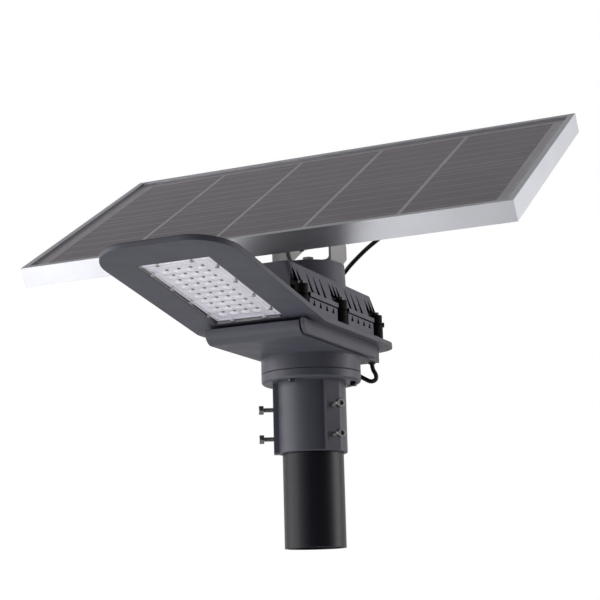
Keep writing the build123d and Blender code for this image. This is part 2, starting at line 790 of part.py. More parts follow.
cell_width = (panel_width - 2 * cell_margin_y - cell_gap_y) / 2
with BuildPart() as solar_cells:
    with BuildSketch(panel.offset(-cell_top)):
        with GridLocations(cell_pitch_x, cell_width + cell_gap_y, cell_columns, 2):
            Rectangle(cell_pitch_x - cell_gap_x, cell_width)
    extrude(amount=-cell_thickness)
save(solar_cells.part, "solar_cells")

# ---- cradle that carries the panel --------------------------------------------------
foot_top = panel_depth - 1.5
rail_top = foot_top - rail_thickness
rail_bolt_v = half_width - rail_bolt_inset
cradle_bolt_rows = (-32.0, 62.0)
cradle_front = -45.0
cradle_rear = 76.0
cradle_bottom = foot_top + cradle_thickness


def cross_rail(side):
    """Flat bar across the back of the panel, bolted to the feet of both long rails."""
    with BuildPart() as rail:
        with BuildSketch(panel.offset(-rail_top)):
            with Locations((side * rail_x, 0)):
                Rectangle(rail_width, panel_width - 5)
                with Locations((0, -rail_bolt_v), (0, cradle_bolt_rows[0]), (0, cradle_bolt_rows[1]), (0, rail_bolt_v)):
                    Circle(m6_hole_r, mode=Mode.SUBTRACT)
        extrude(amount=-rail_thickness)
    return rail.part


save(cross_rail(-1), "cross_rail_left")
save(cross_rail(1), "cross_rail_right")

pivot_local = panel.to_local_coords(Vector(0, pivot_y, pivot_z))
tail_bottom = -92.0
left_cheek_foot = [(cradle_rear, -74), (60, tail_bottom), (-4, tail_bottom), (-7, tail_bottom + 5), (-7, -72)]
right_cheek_foot = [(cradle_rear, -60), (10, -72)]
with BuildPart() as panel_cradle:
    with BuildSketch(panel.offset(-foot_top)):
        with Locations((0, (cradle_front + cradle_rear) / 2)):
            RectangleRounded(2 * (rail_x + rail_width / 2), cradle_rear - cradle_front, 5)
        with GridLocations(2 * rail_x, 0, 2, 1):
            with Locations(*[(0, v) for v in cradle_bolt_rows]):
                Circle(m6_hole_r, mode=Mode.SUBTRACT)
    extrude(amount=-cradle_thickness)
    for side in (-1, 1):
        face = Plane(origin=on_panel(side * cheek_outer, 0, 0), x_dir=panel.y_dir, z_dir=(1, 0, 0))
        with BuildSketch(face):
            with BuildLine():
                Polyline(
                    (cradle_front, -foot_top),
                    (cradle_rear, -foot_top),
                    *(left_cheek_foot if side < 0 else right_cheek_foot),
                    (pivot_local.Y, -72),
                    (cradle_front, -46),
                    close=True,
                )
            make_face()
            with Locations((pivot_local.Y, pivot_local.Z)):
                Circle(16.5)
                Circle(m8_running_r, mode=Mode.SUBTRACT)
        extrude(amount=-side * cheek_thickness)
save(panel_cradle.part, "panel_cradle")


def under_panel(x, v, depth):
    """Place on the panel's back with local +Z pointing away from the sun."""
    return Plane(origin=on_panel(x, v, depth), x_dir=(1, 0, 0), z_dir=panel.z_dir * -1).location


m6_bolt = hex_bolt(3.0, 11.0, 5.7, 4.0)
m6_nut = hex_nut(3.02, 5.7, 4.8)
rail_spots = [(sx * rail_x, sv * rail_bolt_v) for sx in (-1, 1) for sv in (-1, 1)]
cradle_spots = [(sx * rail_x, v) for sx in (-1, 1) for v in cradle_bolt_rows]
rail_bolt_places = [under_panel(x, v, panel_depth) for x, v in rail_spots]
cradle_bolt_places = [under_panel(x, v, cradle_bottom) for x, v in cradle_spots]
nut_spots = rail_spots + cradle_spots
save(placed(m6_bolt, rail_bolt_places), "rail_bolts")
save(placed(m6_bolt, cradle_bolt_places), "cradle_bolts")
save(placed(m6_nut, [under_panel(x, v, rail_top - 4.8) for x, v in nut_spots]), "panel_nuts")

# ---- junction box -------------------------------------------------------------------
laminate_bottom = cell_top + cell_thickness + backsheet_thickness
jbox_lid_top = jbox_bottom - 2.5
with BuildPart() as junction_box:
    with BuildSketch(panel.offset(-laminate_bottom)):
        with Locations(jbox_centre):
            RectangleRounded(jbox_size[0], jbox_size[1], 4)
    extrude(amount=-(jbox_lid_top - laminate_bottom))
    with BuildSketch(panel.offset(-laminate_bottom - 2)):
        with Locations(jbox_centre):
            RectangleRounded(jbox_size[0] - 5, jbox_size[1] - 5, 2)
    extrude(amount=-20, mode=Mode.SUBTRACT)
save(junction_box.part, "junction_box")

with BuildPart() as junction_box_lid:
    with BuildSketch(panel.offset(-jbox_lid_top)):
        with Locations(jbox_centre):
            RectangleRounded(jbox_size[0], jbox_size[1], 4)
        with Locations(jbox_gland_place):
            Circle(cable_d / 2 + 0.12, mode=Mode.SUBTRACT)
    extrude(amount=-(jbox_bottom - jbox_lid_top))
save(junction_box_lid.part, "junction_box_lid")

# ---- cables and their glands --------------------------------------------------------
cable_bore_r = cable_d / 2 + 0.12
box_gland_seat = Vector(12, 62, box_top)
belly_hole_seats = [Vector(55.5, 67, belly_bottom), Vector(9.5, 69.5, belly_bottom)]
large_gland = cable_gland(cable_bore_r, gland_r, gland_length)
small_gland = cable_gland(cable_bore_r, 4.8, 8.0)
grommet = ring(4.4, cable_bore_r, 2.0)


def facing(seat, direction):
    """Location of a gland sitting on its seat and pointing along this direction."""
    return Plane(origin=seat, z_dir=direction).location


save(placed(small_gland, [facing(box_gland_seat, (0, 0, 1))]), "box_gland")
jbox_gland_seat = on_panel(jbox_gland_place[0], jbox_gland_place[1], jbox_bottom)
save(placed(large_gland, [facing(jbox_gland_seat, panel.z_dir * -1)]), "junction_gland")
save(placed(grommet, [facing(seat, (0, 0, -1)) for seat in belly_hole_seats]), "belly_grommets")


def corner_radii(points):
    """Largest arc for each corner: 0.45 of the shorter run over the tangent of half the turn."""
    radii = []
    for before, corner, after in zip(points, points[1:], points[2:]):
        run_in = Vector(*corner) - Vector(*before)
        run_out = Vector(*after) - Vector(*corner)
        turn = radians(run_in.get_angle(run_out))
        radii.append(0.45 * min(run_in.length, run_out.length) / tan(turn / 2))
    return radii


def cable(name, points):
    """Round cable of straight runs and tangent arcs through the points, saved as a node."""
    radii = corner_radii(points)
    with BuildPart() as tube:
        with BuildLine() as route:
            FilletPolyline(*points, radius=radii)
        start = Plane(origin=route.line @ 0, z_dir=route.line % 0)
        with BuildSketch(start):
            Circle(cable_d / 2)
        sweep()
    length = route.wires()[0].length
    ideal = pi * (cable_d / 2) ** 2 * length
    print(name, "length", round(length, 1), "volume/ideal", round(tube.part.volume / ideal, 4))
    print("   radii", [round(r, 1) for r in radii])
    save(tube.part, name)


panel_cable_lower_points = [
    (12.0, 62.0, 331.5),
    (12.0, 62.0, 342.0),
    (17.0, 62.5, 350.0),
    (25.0, 61.0, 356.0),
    (34.0, 54.6, 361.4),
    (43.0, 50.5, 366.5),
]
panel_cable_upper_points = [
    (43.0, 50.5, 366.5),
    (54.0, 45.4889, 372.7333),
    (68.0, 41.0, 380.5),
    (84.0, 36.5, 388.0),
    (101.0, 29.0, 398.0),
    (116.0, 17.9, 408.1),
    (116.0, 6.77, 425.85),
]
belly_cable_points = [
    (55.5, 67.0, 234.4),
    (55.5, 67.0, 227.0),
    (61.0, 66.5, 218.5),
    (61.0, 66.0, 212.0),
    (54.0, 66.0, 209.5),
    (45.0, 66.5, 214.5),
    (35.0, 67.0, 220.5),
    (25.0, 68.0, 224.5),
    (16.5, 69.0, 226.0),
    (9.5, 69.5, 229.0),
    (9.5, 69.5, 234.4),
]
cable("panel_cable_lower", panel_cable_lower_points)
cable("panel_cable_upper", panel_cable_upper_points)
cable("belly_cable", belly_cable_points)
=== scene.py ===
"""Looks of the solar street lamp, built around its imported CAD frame.

Metres, +Z up along the pole, light end towards -Y, panel's long side along X.
"""

import math

import bpy
import bmesh
import numpy as np
from mathutils import Matrix, Vector


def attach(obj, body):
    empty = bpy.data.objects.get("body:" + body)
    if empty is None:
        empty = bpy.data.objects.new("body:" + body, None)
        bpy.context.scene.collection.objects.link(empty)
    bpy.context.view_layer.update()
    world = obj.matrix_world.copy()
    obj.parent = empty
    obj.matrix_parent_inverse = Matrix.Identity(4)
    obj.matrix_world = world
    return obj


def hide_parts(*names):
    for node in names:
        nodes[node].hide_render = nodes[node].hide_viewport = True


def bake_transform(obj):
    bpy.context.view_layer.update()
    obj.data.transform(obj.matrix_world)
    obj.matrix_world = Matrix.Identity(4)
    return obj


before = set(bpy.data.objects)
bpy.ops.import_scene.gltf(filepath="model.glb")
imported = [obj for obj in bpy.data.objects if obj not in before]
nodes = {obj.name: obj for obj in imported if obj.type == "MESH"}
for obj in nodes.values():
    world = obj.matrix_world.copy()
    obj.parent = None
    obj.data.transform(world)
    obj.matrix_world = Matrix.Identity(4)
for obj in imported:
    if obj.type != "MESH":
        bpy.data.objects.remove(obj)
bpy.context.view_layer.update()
MM = 0.001


# ---- places read from the frame -------------------------------------------------------
def face_plane(node, direction):
    """Matrix and half sizes of the flat faces of a node that face this way: X across, Z outward."""
    mesh = nodes[node].data
    direction = Vector(direction).normalized()
    faces = [p for p in mesh.polygons if p.normal.dot(direction) > 0.7]
    normal = max(faces, key=lambda p: p.area).normal.copy()
    flat = [p for p in faces if p.normal.dot(normal) > 0.9999]
    across = Vector((1, 0, 0))
    along = normal.cross(across).normalized()
    corners = [mesh.vertices[i].co for p in flat for i in p.vertices]
    spans = [[c.dot(axis) for c in corners] for axis in (across, along, normal)]
    middle = [(min(s) + max(s)) / 2 for s in spans]
    origin = across * middle[0] + along * middle[1] + normal * middle[2]
    matrix = Matrix((across, along, normal)).transposed().to_4x4()
    matrix.translation = origin
    half = [(max(s) - min(s)) / 2 for s in spans]
    return matrix, half[0], half[1]


sun_plane = face_plane("panel_glass", (0, -0.5, 0.85))[0]
cell_plane, cells_half_x, cells_half_y = face_plane("solar_cells", (0, -0.5, 0.85))
lens_plane, lens_half_x, lens_half_y = face_plane("lens_plate", (0, -0.2, -1))
panel_tilt = math.atan2(-sun_plane.col[2].y, sun_plane.col[2].z)


# ---- shaders -------------------------------------------------------------------------
class Shader:
    """A material with one Principled shader and short ways to add the nodes behind it."""

    def __init__(self, name, **values):
        self.material = bpy.data.materials.new(name)
        self.material.use_nodes = True
        self.tree = self.material.node_tree
        self.base = self.tree.nodes["Principled BSDF"]
        for key, value in values.items():
            self.base.inputs[key.replace("_", " ")].default_value = value

    def add(self, kind, inputs=None, **settings):
        node = self.tree.nodes.new("ShaderNode" + kind)
        for key, value in settings.items():
            setattr(node, key, value)
        for key, value in (inputs or {}).items():
            if isinstance(value, bpy.types.NodeSocket):
                self.tree.links.new(value, node.inputs[key])
            else:
                node.inputs[key].default_value = value
        return node

    def drive(self, key, output):
        self.tree.links.new(output, self.base.inputs[key])

    def place(self, turn=(0, 0, 0), stretch=(1, 1, 1)):
        """Coordinates of the part's own frame, turned and stretched."""
        source = self.add("TexCoord").outputs["Object"]
        turned = self.add("Mapping", {"Vector": source, "Rotation": turn})
        return self.add("Mapping", {"Vector": turned.outputs[0], "Scale": stretch}).outputs[0]

    def noise(self, place, scale, detail, rough=0.5):
        inputs = {"Vector": place, "Scale": scale, "Detail": detail, "Roughness": rough}
        return self.add("TexNoise", inputs).outputs["Fac"]

    def math(self, operation, a, b):
        return self.add("Math", {0: a, 1: b}, operation=operation).outputs[0]

    def between(self, factor, low, high):
        """Colour between low and high as the factor goes from 0.3 to 0.7."""
        ramp = self.add("ValToRGB", {"Fac": factor})
        ramp.color_ramp.elements[0].position = 0.3
        ramp.color_ramp.elements[1].position = 0.7
        ramp.color_ramp.elements[0].color = (*low, 1)
        ramp.color_ramp.elements[1].color = (*high, 1)
        return ramp.outputs["Color"]

    def remap(self, factor, low, high):
        """Number between low and high as the factor goes from 0.3 to 0.7."""
        inputs = {"Value": factor, "From Min": 0.3, "From Max": 0.7, "To Min": low, "To Max": high}
        return self.add("MapRange", inputs).outputs[0]

    def relief(self, height, distance, strength, edge=0.0):
        """Bump from a height, on edges that look rounded to this radius."""
        inputs = {"Height": height, "Distance": distance, "Strength": strength}
        if edge:
            inputs["Normal"] = self.add("Bevel", {"Radius": edge}, samples=4).outputs[0]
        self.drive("Normal", self.add("Bump", inputs).outputs[0])

    def mottled(self, place, colour, spread, scale):
        """Base colour that wanders slowly by this share either way."""
        low = [c * (1 - spread) for c in colour]
        high = [c * (1 + spread) for c in colour]
        self.drive("Base Color", self.between(self.noise(place, scale, 3), low, high))

    def sheet(self, clear_colour, gloss_colour, gloss_roughness, ior, bump):
        """See-through sheet in place of the Principled shader, with Fresnel gloss on its front faces."""
        gloss = self.add("BsdfGlossy", {"Roughness": gloss_roughness, "Color": (*gloss_colour, 1)})
        clear = self.add("BsdfTransparent", {"Color": (*clear_colour, 1)})
        self.tree.links.new(self.add("Bump", bump).outputs[0], gloss.inputs["Normal"])
        front = self.math("SUBTRACT", 1.0, self.add("NewGeometry").outputs["Backfacing"])
        shine = self.math("MULTIPLY", self.add("Fresnel", {"IOR": ior}).outputs[0], front)
        mix = self.add("MixShader", {0: shine, 1: clear.outputs[0], 2: gloss.outputs[0]})
        self.tree.links.new(mix.outputs[0], self.tree.nodes["Material Output"].inputs["Surface"])
        self.tree.nodes.remove(self.base)


def powder_coat(name, colour, roughness=0.42, edge=0.7 * MM, ior=1.5):
    """Powder coat on a casting: fine orange peel, slow clouding and softened edges."""
    m = Shader(name, Roughness=roughness, IOR=ior)
    place = m.place()
    m.mottled(place, colour, 0.06, 14)
    m.drive("Roughness", m.remap(m.noise(place, 40, 3), roughness - 0.05, roughness + 0.06))
    m.relief(m.noise(place, 1400, 3, 0.6), 0.05 * MM, 0.55, edge)
    return m.material


def turned_coat(name, colour, roughness=0.4, ior=1.5):
    """Powder coat over a turned casting: faint rings stay visible around the pole axis."""
    m = Shader(name, Roughness=roughness, IOR=ior)
    place = m.place()
    m.mottled(place, colour, 0.05, 16)
    rings = m.noise(m.place(stretch=(0.02, 0.02, 1)), 1500, 2)
    peel = m.noise(place, 1300, 3, 0.6)
    m.drive("Roughness", m.remap(rings, roughness - 0.06, roughness + 0.06))
    m.relief(m.math("ADD", peel, rings), 0.05 * MM, 0.55, 0.7 * MM)
    return m.material


def brushed(name, colour, roughness, turn=(0, 0, 0), stretch=(0.02, 1, 1)):
    """Metal with fine lines along one direction."""
    m = Shader(name, Metallic=1.0, Roughness=roughness)
    lines = m.noise(m.place(turn, stretch), 2600, 3)
    m.mottled(m.place(turn), colour, 0.05, 10)
    m.drive("Roughness", m.remap(lines, roughness - 0.05, roughness + 0.07))
    m.relief(lines, 0.02 * MM, 0.5, 0.35 * MM)
    return m.material


def black_rubber(name, roughness):
    """Cable jacket or seal: nearly black with a slight dusty mottling."""
    m = Shader(name, Roughness=roughness, IOR=1.5)
    place = m.place()
    m.mottled(place, (0.012, 0.012, 0.013), 0.3, 120)
    m.relief(m.noise(place, 2200, 2), 0.03 * MM, 0.5)
    return m.material


def moulded(name, colour, roughness=0.5):
    """Moulded plastic with a fine spark-eroded grain."""
    m = Shader(name, Roughness=roughness, IOR=1.46)
    place = m.place()
    m.mottled(place, colour, 0.08, 30)
    m.relief(m.noise(place, 2400, 2), 0.04 * MM, 0.6, 0.5 * MM)
    return m.material


def lens_plastic(name):
    """Clear moulding with sharp reflections and a slight ripple."""
    m = Shader(name)
    ripple = {"Height": m.noise(m.place(), 300, 2), "Distance": 0.05 * MM, "Strength": 0.4}
    m.sheet((0.99, 0.99, 1.0), (1, 1, 1), 0.06, 2.7, ripple)
    return m.material


def cover_glass(name):
    """Front glass of the panel, with the soft gloss of a prismatic surface."""
    m = Shader(name)
    prisms = m.noise(m.place((-panel_tilt, 0, 0)), 900, 2)
    bump = {"Height": prisms, "Distance": 0.03 * MM, "Strength": 0.4}
    m.sheet((0.93, 0.94, 0.94), (1.0, 0.93, 0.99), 0.25, 1.3, bump)
    return m.material


def silicon(name):
    """Dark solar cells with hair-thin collector fingers and slight crystal clouding."""
    m = Shader(name, Roughness=0.35, IOR=1.6)
    flat = m.place((-panel_tilt, 0, 0))
    cloud = m.noise(flat, 18, 3)
    fingers = m.add("TexWave", {"Vector": flat, "Scale": 160.0}, bands_direction="X").outputs["Fac"]
    thin = m.math("GREATER_THAN", fingers, 0.93)
    colour = m.between(cloud, (0.105, 0.080, 0.102), (0.145, 0.113, 0.142))
    share = m.math("MULTIPLY", thin, 0.35)
    mix = m.add("MixRGB", {"Fac": share, "Color1": colour, "Color2": (0.16, 0.15, 0.16, 1)})
    m.drive("Base Color", mix.outputs[0])
    m.relief(cloud, 0.05 * MM, 0.2)
    return m.material


def unlit_packages(name):
    """LED packages, which look dark through the domes because they are off."""
    m = Shader(name, Roughness=0.4)
    m.mottled(m.place(), (0.03, 0.027, 0.027), 0.3, 300)
    m.relief(m.noise(m.place(), 900, 2), 0.05 * MM, 0.4)
    return m.material


BODY = (0.064, 0.065, 0.084)
ON_PANEL = (-panel_tilt, 0, 0)
ALONG_SCREW = (1, 1, 0.1)
body_paint = powder_coat("body_powder_coat", BODY, edge=1.5 * MM)
ring_paint = turned_coat("turned_powder_coat", BODY)
# Painted light: the battery box wears the body colour made 1.5 times lighter, standing for light that
# falls on it.
fin_paint = powder_coat("battery_box_coat", [c * 1.5 for c in BODY], 0.5, 0.5 * MM)
# Painted shade: a near-black coat for the recesses of the battery box, standing for the shade inside them.
painted_shade_black = powder_coat("painted_recess_shade_coat", (0.005, 0.005, 0.006), 0.6, 0.3 * MM, 1.2)
pole_paint = turned_coat("pole_black_coat", (0.006, 0.0055, 0.0095), 0.36, 1.4)
# Painted shade: the long rails carry a darker copy of the short rails' anodised colour, standing for the
# shade in their reflections.
rail_metal = brushed("anodised_long_rails", (0.64, 0.645, 0.685), 0.34, ON_PANEL)
side_metal = brushed("anodised_short_rails", (0.72, 0.73, 0.78), 0.34, ON_PANEL, (1, 0.02, 1))
bracket_paint = powder_coat("bracket_grey_coat", (0.40, 0.385, 0.385), 0.45, 0.5 * MM)
bright_steel = brushed("bright_screw_steel", (0.62, 0.60, 0.58), 0.22, stretch=ALONG_SCREW)
cap_steel = brushed("cap_screw_steel", (0.30, 0.29, 0.29), 0.24, stretch=ALONG_SCREW)
dark_steel = brushed("dark_screw_steel", (0.10, 0.10, 0.105), 0.35, stretch=ALONG_SCREW)
rubber = black_rubber("seal_rubber", 0.6)
jacket = black_rubber("cable_jacket", 0.38)
black_plastic = moulded("black_moulding", (0.02, 0.02, 0.021))
white_sheet = moulded("white_backsheet", (0.60, 0.575, 0.60), 0.5)
board_white = moulded("board_white_mask", (0.93, 0.91, 0.97), 0.35)
lens_clear = lens_plastic("lens_polycarbonate")
panel_pane = cover_glass("panel_cover_glass")
cell_dark = silicon("solar_silicon")
ribbon_metal = brushed("tinned_ribbon", (0.62, 0.60, 0.64), 0.4, ON_PANEL)
led_dark = unlit_packages("led_package")
wrap_blue = moulded("battery_wrap", (0.03, 0.10, 0.30), 0.35)


def paint(material, *names):
    """Puts one material on whole nodes."""
    for name in names:
        slots = nodes[name].material_slots
        if not slots:
            nodes[name].data.materials.append(material)
        for held in slots:
            held.material = material


paint(body_paint, "lamp_housing", "belly_casting")
paint(ring_paint, "mounting_collar")
paint(fin_paint, "battery_box_lower", "battery_box_upper")
paint(pole_paint, "pole_tube")
paint(rail_metal, "frame_rail_front", "frame_rail_rear")
paint(side_metal, "frame_rail_left", "frame_rail_right", "corner_keys")
paint(bracket_paint, "u_bracket", "panel_cradle", "cross_rail_left", "cross_rail_right")
paint(bright_steel, "lens_screws", "pan_bolt", "pan_washer", "pan_nut")
paint(bright_steel, "tilt_bolts", "tilt_washers", "tilt_nuts", "rail_bolts", "cradle_bolts", "panel_nuts")
paint(dark_steel, "box_screws", "swivel_screws")
paint(rubber, "box_gasket", "swivel_ring", "belly_grommets")
paint(black_plastic, "cell_holders", "charge_controller", "box_gland")
paint(black_plastic, "junction_gland", "junction_box", "junction_box_lid")
paint(white_sheet, "backsheet")
paint(board_white, "led_board", "lens_gasket")
paint(led_dark, "led_chips")
paint(wrap_blue, "battery_cells")


# ---- painted shade in the recesses of the battery box ------------------------------------
FLOOR_X = (47.7 * MM, 53.0 * MM)
FLOOR_SLACK = 0.1 * MM
POCKET_ROWS = (-150.0 * MM, -36.0 * MM, 78.0 * MM)
POCKET_HALF = 16.6 * MM
POCKET_TOP = 303.5 * MM
SIDES_FROM = POCKET_ROWS[0] - 6 * MM
SIDES_TO = POCKET_ROWS[2] + 20 * MM


def paint_recess_shade(name):
    """Painted shade: a near-black coat inside the vent notches and the screw pockets of a box shell, where
    shade falls.
    """
    mesh = nodes[name].data
    mesh.materials.append(painted_shade_black)
    dark = len(mesh.materials) - 1
    for polygon in mesh.polygons:
        x, y, z = abs(polygon.center.x), polygon.center.y, polygon.center.z
        outside = x > FLOOR_X[0]
        in_pocket = outside and z < POCKET_TOP and any(abs(y - row) < POCKET_HALF for row in POCKET_ROWS)
        on_floor = any(abs(x - floor) < FLOOR_SLACK for floor in FLOOR_X)
        on_side = outside and abs(polygon.normal.y) > 0.7 and SIDES_FROM < y < SIDES_TO
        if in_pocket or on_floor or on_side:
            polygon.material_index = dark


paint_recess_shade("battery_box_lower")
paint_recess_shade("battery_box_upper")


# ---- mesh helpers ----------------------------------------------------------------------
def piece(name, mesh, body, replaced, material, smooth=True):
    """Adds a mesh as a piece that rides on a body and stands for CAD nodes."""
    item = bpy.data.objects.new(name, mesh)
    bpy.context.scene.collection.objects.link(item)
    mesh.materials.append(material)
    for polygon in mesh.polygons:
        polygon.use_smooth = smooth
    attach(item, body)
    if replaced:
        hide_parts(*replaced)


def from_bmesh(name, bm, matrix):
    """Mesh of a bmesh, placed by a matrix, with its faces turned outward."""
    bmesh.ops.recalc_face_normals(bm, faces=bm.faces)
    mesh = bpy.data.meshes.new(name)
    bm.to_mesh(mesh)
    bm.free()
    mesh.transform(matrix)
    return mesh


def add_block(bm, low, high):
    """A block between two corners."""
    for v in bmesh.ops.create_cube(bm, size=1.0)["verts"]:
        v.co = Vector([start + (c + 0.5) * (end - start) for start, end, c in zip(low, high, v.co)])


# ---- solar panel face ------------------------------------------------------------------
CELL_COLUMNS = 5
COLUMN_GAP = 5.5 * MM
ROW_GAP = 2.0 * MM
RIBBONS = 6
RIBBON_WIDTH = 0.9 * MM
RIBBON_INSET = 0.5 * MM
END_RIBBON_GAP = 5.5 * MM
END_RIBBON_HALF = 2 * MM
END_RIBBON_REACH = 0.44
CELL_SKIN = 0.25 * MM
RIBBON_SKIN = 0.08 * MM


def solar_face():
    """Ten cells in two rows, each crossed by tinned ribbons, joined at the ends by wide ones."""
    cells, ribbons = bmesh.new(), bmesh.new()
    pitch = (2 * cells_half_x + COLUMN_GAP) / CELL_COLUMNS
    deep = (2 * cells_half_y - ROW_GAP) / 2
    for column in range(CELL_COLUMNS):
        x = -cells_half_x + column * pitch
        for y in (-cells_half_y, ROW_GAP / 2):
            end = x + pitch - COLUMN_GAP
            add_block(cells, (x, y, -CELL_SKIN), (end, y + deep, 0))
            for ribbon in range(RIBBONS):
                middle = y + deep * (ribbon + 0.5) / RIBBONS
                low = (x + RIBBON_INSET, middle - RIBBON_WIDTH / 2, 0)
                high = (end - RIBBON_INSET, middle + RIBBON_WIDTH / 2, RIBBON_SKIN)
                add_block(ribbons, low, high)
    reach = cells_half_y * END_RIBBON_REACH
    for side in (-1, 1):
        x = side * (cells_half_x + END_RIBBON_GAP)
        for row in (-1, 1):
            y = row * cells_half_y * 0.5
            low = (x - END_RIBBON_HALF, y - reach, -CELL_SKIN)
            high = (x + END_RIBBON_HALF, y + reach, 0)
            add_block(ribbons, low, high)
    below_glass = cell_plane @ Matrix.Translation((0, 0, -RIBBON_SKIN * 1.5))
    cell_mesh = from_bmesh("solar_cell_faces", cells, below_glass)
    piece("solar_cell_faces", cell_mesh, "panel", ["solar_cells"], cell_dark, False)
    ribbon_mesh = from_bmesh("cell_ribbons", ribbons, below_glass)
    piece("cell_ribbons", ribbon_mesh, "panel", [], ribbon_metal, False)


solar_face()
paint(panel_pane, "panel_glass")


# ---- lens over the LEDs ----------------------------------------------------------------
LENS_ROWS = 4
LENS_COLUMNS = 10
LENS_PITCH = 14.7 * MM
LENS_STEP = 0.7 * MM
LENS_BACK = 2.2 * MM
DOME_HALF = (5.4 * MM, 4.8 * MM)
DOME_RISE = 3.0 * MM
DIMPLE_DEPTH = 0.7 * MM
DIMPLE_R = 1.8 * MM
LIP_WIDTH = 2.6 * MM
LIP_RISE = 1.6 * MM
BEAD_HALF = (35.0 * MM, 82.0 * MM)
BEAD_RISE = 1.1 * MM
BOSS_R = 3.2 * MM
BOSS_RISE = 1.2 * MM
PIT_R = 2.2 * MM
SCREWS_X = 39.6 * MM
SCREWS_Y = (21.7 * MM, 65.1 * MM)
END_SCREWS = (21.0 * MM, 88.0 * MM)


def smooth_step(low, high, value):
    """0 below low, 1 above high, and a soft step between."""
    t = np.clip((value - low) / (high - low), 0, 1)
    return t * t * (3 - 2 * t)


def lens_height(x, y):
    """Height of the moulded lens over its flat face: domes, raised frame and screw bosses."""
    field_x = (np.floor(x / LENS_PITCH) + 0.5) * LENS_PITCH
    field_y = (np.floor(y / LENS_PITCH) + 0.5) * LENS_PITCH
    inside = (abs(x) < LENS_ROWS / 2 * LENS_PITCH) & (abs(y) < LENS_COLUMNS / 2 * LENS_PITCH)
    dx, dy = x - field_x, y - field_y
    dome = DOME_RISE * np.sqrt(np.clip(1 - (dx / DOME_HALF[0]) ** 2 - (dy / DOME_HALF[1]) ** 2, 0, 1))
    dimple = DIMPLE_DEPTH * np.exp(-((dx**2 + dy**2) / DIMPLE_R**2))
    height = np.where(inside, np.maximum(dome - dimple, 0), 0)
    edge = np.minimum(lens_half_x - abs(x), lens_half_y - abs(y))
    lip = smooth_step(0, 0.8 * MM, edge) * (1 - smooth_step(LIP_WIDTH, LIP_WIDTH + 0.8 * MM, edge))
    bead_place = np.minimum(abs(abs(x) - BEAD_HALF[0]), abs(abs(y) - BEAD_HALF[1]))
    in_bead = (abs(x) < BEAD_HALF[0] + 0.6 * MM) & (abs(y) < BEAD_HALF[1] + 0.6 * MM)
    bead = np.where(in_bead, 1 - smooth_step(0.3 * MM, 1.1 * MM, bead_place), 0)
    height = np.maximum(height, np.maximum(LIP_RISE * lip, BEAD_RISE * bead))
    for sx in (-1, 1):
        for sy in (-1, 1):
            spots = [(sx * SCREWS_X, sy * spot) for spot in SCREWS_Y]
            spots.append((sx * END_SCREWS[0], sy * END_SCREWS[1]))
            for px, py in spots:
                far = np.hypot(x - px, y - py)
                boss = 1 - smooth_step(BOSS_R, BOSS_R + 0.7 * MM, far)
                pit = 1 - smooth_step(PIT_R, PIT_R + 0.4 * MM, far)
                height = height * (1 - boss) + BOSS_RISE * boss
                height = height * (1 - pit)
    return height


def lens_piece():
    """Closed sheet whose outer face follows lens_height."""
    count_x = int(round(2 * lens_half_x / LENS_STEP))
    count_y = int(round(2 * lens_half_y / LENS_STEP))
    xs = np.linspace(-lens_half_x, lens_half_x, count_x + 1)
    ys = np.linspace(-lens_half_y, lens_half_y, count_y + 1)
    gx, gy = np.meshgrid(xs, ys, indexing="ij")
    top = np.stack([gx, gy, lens_height(gx, gy)], -1).reshape(-1, 3)
    back = np.stack([gx, gy, np.full_like(gx, -LENS_BACK)], -1).reshape(-1, 3)
    wide = count_y + 1
    total = len(top)
    faces = []
    for i in range(count_x):
        for j in range(count_y):
            a = i * wide + j
            faces.append((a, a + wide, a + wide + 1, a + 1))
            faces.append((total + a, total + a + 1, total + a + wide + 1, total + a + wide))
    rim = [i * wide for i in range(count_x)] + [count_x * wide + j for j in range(count_y)]
    rim += [i * wide + count_y for i in range(count_x, 0, -1)] + list(range(count_y, 0, -1))
    for a, b in zip(rim, rim[1:] + rim[:1]):
        faces.append((b, a, total + a, total + b))
    mesh = bpy.data.meshes.new("lens_moulding")
    mesh.from_pydata(np.concatenate([top, back]).tolist(), [], faces)
    mesh.transform(lens_plane)
    piece("lens_moulding", mesh, "head", ["lens_plate"], lens_clear)


lens_piece()


# ---- clamp screws ----------------------------------------------------------------------
SCREW_R = 2.9 * MM
THREAD_DEPTH = 0.55 * MM
HEAD_R = 5.5 * MM
HEAD_LENGTH = 6.0 * MM
SOCKET_R = 2.8 * MM
SOCKET_DEPTH = 3.4 * MM
THREAD_PITCH = 1.0 * MM
ROUND_STEPS = 36


def lathe(bm, profile, matrix):
    """Closed body turned from (radius, height) points around the local Z axis."""
    rings = []
    for radius, height in profile:
        ring = []
        for k in range(ROUND_STEPS):
            angle = 2 * math.pi * k / ROUND_STEPS
            place = Vector((radius * math.cos(angle), radius * math.sin(angle), height))
            ring.append(bm.verts.new(matrix @ place))
        rings.append(ring)
    for lower, upper in zip(rings, rings[1:]):
        for k in range(ROUND_STEPS):
            after = (k + 1) % ROUND_STEPS
            bm.faces.new((lower[k], lower[after], upper[after], upper[k]))
    bm.faces.new(rings[0][::-1])
    bm.faces.new(rings[-1])


def node_islands(name):
    """The points of each separate solid of a node."""
    bm = bmesh.new()
    bm.from_mesh(nodes[name].data)
    bmesh.ops.remove_doubles(bm, verts=bm.verts, dist=1e-6)
    seen, groups = set(), []
    for start in bm.verts:
        if start.index in seen:
            continue
        stack, group = [start], []
        seen.add(start.index)
        while stack:
            v = stack.pop()
            group.append(v.co.copy())
            for e in v.link_edges:
                other = e.other_vert(v)
                if other.index not in seen:
                    seen.add(other.index)
                    stack.append(other)
        groups.append(group)
    bm.free()
    return groups


